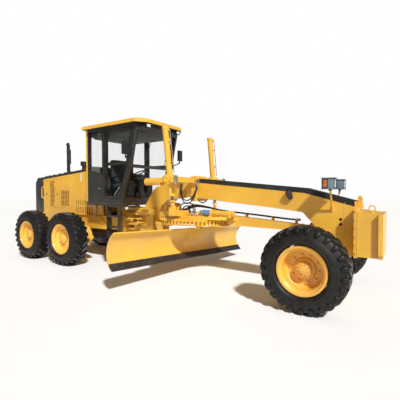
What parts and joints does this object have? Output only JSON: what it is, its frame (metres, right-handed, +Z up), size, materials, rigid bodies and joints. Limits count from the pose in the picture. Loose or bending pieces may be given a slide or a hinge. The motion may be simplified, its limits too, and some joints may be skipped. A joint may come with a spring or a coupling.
{
  "type": "motor grader",
  "caption": "Articulated motor grader: arched main frame, leaning steered front wheels, tandem drive wheels, enclosed cab, and a curved blade hung from a toothed circle on a drawbar.",
  "frame": {"origin": "on the ground, halfway along the machine's length, on its middle plane", "axes": "+X forward, +Y to the driver's left, +Z up"},
  "size_m": [9.4, 4.2899, 3.4098],
  "materials": {
    "paint": "gloss",
    "cab_paint": "satin",
    "black_paint": "satin",
    "tyre": "matte",
    "rod": "polished",
    "edge_steel": "worn",
    "glass": "clear",
    "seat": "woven",
    "plastic": "matte",
    "lamp": "gloss",
    "engine": "satin"
  },
  "bodies": {
    "rear_machine": {"rear_frame": "paint", "tandem_axle": "paint", "engine": "engine", "hood_frame": "paint", "hood_cover": "black_paint", "cab_frame": "cab_paint", "cab_rear_wall": "paint", "cab_roof": "paint", "cab_glass": "glass", "operator_chair": "seat", "control_console": "plastic", "ladders": "black_paint", "mirrors": "black_paint", "work_lamps": "lamp"},
    "front_machine": {"gooseneck": "paint", "push_block": "paint", "lift_saddle": "paint", "head_lamps": "lamp", "front_axle": "paint"},
    "hitch_barrel_left": {"hitch_barrel_left": "paint"},
    "hitch_rod_left": {"hitch_rod_left": "rod"},
    "hitch_barrel_right": {"hitch_barrel_right": "paint"},
    "hitch_rod_right": {"hitch_rod_right": "rod"},
    "lean_spider_left": {"lean_spider_left": "paint"},
    "lean_spider_right": {"lean_spider_right": "paint"},
    "lean_bar": {"lean_bar": "paint"},
    "knuckle_left": {"knuckle_left": "paint"},
    "knuckle_right": {"knuckle_right": "paint"},
    "tie_rod": {"tie_rod": "paint"},
    "front_wheel_left": {"front_tyre_left": "tyre", "front_rim_left": "paint"},
    "mid_wheel_left": {"mid_tyre_left": "tyre", "mid_rim_left": "paint"},
    "rear_wheel_left": {"rear_tyre_left": "tyre", "rear_rim_left": "paint"},
    "front_wheel_right": {"front_tyre_right": "tyre", "front_rim_right": "paint"},
    "mid_wheel_right": {"mid_tyre_right": "tyre", "mid_rim_right": "paint"},
    "rear_wheel_right": {"rear_tyre_right": "tyre", "rear_rim_right": "paint"},
    "drawbar": {"drawbar": "paint"},
    "lift_barrel_left": {"lift_barrel_left": "paint"},
    "lift_rod_left": {"lift_rod_left": "rod"},
    "lift_barrel_right": {"lift_barrel_right": "paint"},
    "lift_rod_right": {"lift_rod_right": "rod"},
    "circle": {"circle": "paint", "circle_arms": "paint"},
    "blade_carrier": {"blade_carrier": "paint"},
    "blade": {"moldboard": "paint", "cutting_edge": "edge_steel"},
    "cab_door_left": {"cab_door_left": "cab_paint"},
    "hood_door_rear_left": {"hood_door_rear_left": "paint"},
    "hood_door_front_left": {"hood_door_front_left": "paint"},
    "cab_door_right": {"cab_door_right": "cab_paint"},
    "hood_door_rear_right": {"hood_door_rear_right": "paint"},
    "hood_door_front_right": {"hood_door_front_right": "paint"}
  },
  "joints": [
    {"name": "articulation", "type": "hinge", "parent": "rear_machine", "child": "front_machine", "pos_m": [-0.64, 0, 1.105], "axis": [0, 0, 1], "range_deg": [-25, 25]},
    {"name": "hitch_turn_left", "type": "hinge", "parent": "rear_machine", "child": "hitch_barrel_left", "pos_m": [-0.9, 0.25, 1.105], "axis": [0, 0, 1], "range_deg": [-60, 60]},
    {"name": "hitch_reach_left", "type": "slide", "parent": "hitch_barrel_left", "child": "hitch_rod_left", "axis": [0.9472, 0.3206, 0], "range_m": [-0.25, 0.25]},
    {"name": "hitch_turn_right", "type": "hinge", "parent": "rear_machine", "child": "hitch_barrel_right", "pos_m": [-0.9, -0.25, 1.105], "axis": [0, 0, 1], "range_deg": [-60, 60]},
    {"name": "hitch_reach_right", "type": "slide", "parent": "hitch_barrel_right", "child": "hitch_rod_right", "axis": [0.9472, -0.3206, 0], "range_m": [-0.25, 0.25]},
    {"name": "lean_left", "type": "hinge", "parent": "front_machine", "child": "lean_spider_left", "pos_m": [3.74, 0.74, 0.575], "axis": [-1, 0, 0], "range_deg": [-17, 17]},
    {"name": "lean_right", "type": "hinge", "parent": "front_machine", "child": "lean_spider_right", "pos_m": [3.74, -0.74, 0.575], "axis": [-1, 0, 0], "range_deg": [-17, 17]},
    {"name": "lean_bar_slide", "type": "slide", "parent": "front_machine", "child": "lean_bar", "axis": [0, 1, 0], "range_m": [-0.1, 0.1]},
    {"name": "steer_left", "type": "hinge", "parent": "lean_spider_left", "child": "knuckle_left", "pos_m": [3.74, 0.8, 0.575], "axis": [0, 0, 1], "range_deg": [-45, 45]},
    {"name": "steer_right", "type": "hinge", "parent": "lean_spider_right", "child": "knuckle_right", "pos_m": [3.74, -0.8, 0.575], "axis": [0, 0, 1], "range_deg": [-45, 45]},
    {"name": "tie_rod_slide", "type": "slide", "parent": "front_machine", "child": "tie_rod", "axis": [0, 1, 0], "range_m": [-0.3, 0.3]},
    {"name": "front_wheel_spin_left", "type": "hinge", "parent": "knuckle_left", "child": "front_wheel_left", "pos_m": [3.74, 1.095, 0.643], "axis": [0, 1, 0], "continuous": true},
    {"name": "mid_wheel_spin_left", "type": "hinge", "parent": "rear_machine", "child": "mid_wheel_left", "pos_m": [-1.96, 1.18, 0.643], "axis": [0, 1, 0], "continuous": true},
    {"name": "rear_wheel_spin_left", "type": "hinge", "parent": "rear_machine", "child": "rear_wheel_left", "pos_m": [-3.48, 1.18, 0.643], "axis": [0, 1, 0], "continuous": true},
    {"name": "front_wheel_spin_right", "type": "hinge", "parent": "knuckle_right", "child": "front_wheel_right", "pos_m": [3.74, -1.095, 0.643], "axis": [0, 1, 0], "continuous": true},
    {"name": "mid_wheel_spin_right", "type": "hinge", "parent": "rear_machine", "child": "mid_wheel_right", "pos_m": [-1.96, -1.18, 0.643], "axis": [0, 1, 0], "continuous": true},
    {"name": "rear_wheel_spin_right", "type": "hinge", "parent": "rear_machine", "child": "rear_wheel_right", "pos_m": [-3.48, -1.18, 0.643], "axis": [0, 1, 0], "continuous": true},
    {"name": "drawbar_lift", "type": "hinge", "parent": "front_machine", "child": "drawbar", "pos_m": [3.6, 0, 1.11], "axis": [0, 1, 0], "range_deg": [-20, 1.5]},
    {"name": "lift_swing_left", "type": "hinge", "parent": "front_machine", "child": "lift_barrel_left", "pos_m": [1.012, 0.832, 2.025], "axis": [0, 1, 0], "range_deg": [-15, 15]},
    {"name": "lift_reach_left", "type": "slide", "parent": "lift_barrel_left", "child": "lift_rod_left", "axis": [0.0685, 0.0319, -0.9971], "range_m": [-0.15, 1.05]},
    {"name": "lift_swing_right", "type": "hinge", "parent": "front_machine", "child": "lift_barrel_right", "pos_m": [1.012, -0.832, 2.025], "axis": [0, 1, 0], "range_deg": [-15, 15]},
    {"name": "lift_reach_right", "type": "slide", "parent": "lift_barrel_right", "child": "lift_rod_right", "axis": [0.081, 0.0428, -0.9958], "range_m": [-0.15, 1.05]},
    {"name": "circle_turn", "type": "hinge", "parent": "drawbar", "child": "circle", "pos_m": [1.06, 0.00307, 1.16491], "axis": [0, 0.0558, 0.9984], "range_deg": [-45.8, 54.2]},
    {"name": "blade_pitch", "type": "hinge", "parent": "circle", "child": "blade_carrier", "pos_m": [0.68432, -0.0079, 0.47445], "axis": [0.0732, 0.9958, -0.0557], "range_deg": [-8, 37]},
    {"name": "blade_shift", "type": "slide", "parent": "blade_carrier", "child": "blade", "axis": [-0.0732, -0.9958, 0.0557], "range_m": [-0.55, 0.55]},
    {"name": "cab_door_swing_left", "type": "hinge", "parent": "rear_machine", "child": "cab_door_left", "pos_m": [-1.062, 0.766, 2.375], "axis": [0, 0, 1], "range_deg": [0, 170]},
    {"name": "hood_door_swing_rear_left", "type": "hinge", "parent": "rear_machine", "child": "hood_door_rear_left", "pos_m": [-3.617, 0.464, 1.675], "axis": [0, 0, -1], "range_deg": [0, 110]},
    {"name": "hood_door_swing_front_left", "type": "hinge", "parent": "rear_machine", "child": "hood_door_front_left", "pos_m": [-2.847, 0.464, 1.675], "axis": [0, 0, -1], "range_deg": [0, 110]},
    {"name": "cab_door_swing_right", "type": "hinge", "parent": "rear_machine", "child": "cab_door_right", "pos_m": [-1.062, -0.766, 2.375], "axis": [0, 0, -1], "range_deg": [0, 170]},
    {"name": "hood_door_swing_rear_right", "type": "hinge", "parent": "rear_machine", "child": "hood_door_rear_right", "pos_m": [-3.617, -0.464, 1.675], "axis": [0, 0, 1], "range_deg": [0, 110]},
    {"name": "hood_door_swing_front_right", "type": "hinge", "parent": "rear_machine", "child": "hood_door_front_right", "pos_m": [-2.847, -0.464, 1.675], "axis": [0, 0, 1], "range_deg": [0, 110]}
  ],
  "couplings": [
    {"joint": "hitch_turn_left", "follows": "articulation", "ratio": 0.772},
    {"joint": "hitch_reach_left", "follows": "articulation", "m_per_rad": -0.315},
    {"joint": "hitch_turn_right", "follows": "articulation", "ratio": 0.772},
    {"joint": "hitch_reach_right", "follows": "articulation", "m_per_rad": 0.315},
    {"joint": "lean_right", "follows": "lean_left", "ratio": 1},
    {"joint": "lean_bar_slide", "follows": "lean_left", "m_per_rad": 0.2561},
    {"joint": "steer_right", "follows": "steer_left", "ratio": 1},
    {"joint": "tie_rod_slide", "follows": "steer_left", "m_per_rad": -0.3},
    {"joint": "lift_swing_left", "follows": "drawbar_lift", "ratio": -0.07},
    {"joint": "lift_reach_left", "follows": "drawbar_lift", "m_per_rad": -2.465},
    {"joint": "lift_swing_right", "follows": "drawbar_lift", "ratio": -0.17},
    {"joint": "lift_reach_right", "follows": "drawbar_lift", "m_per_rad": -2.495}
  ]
}
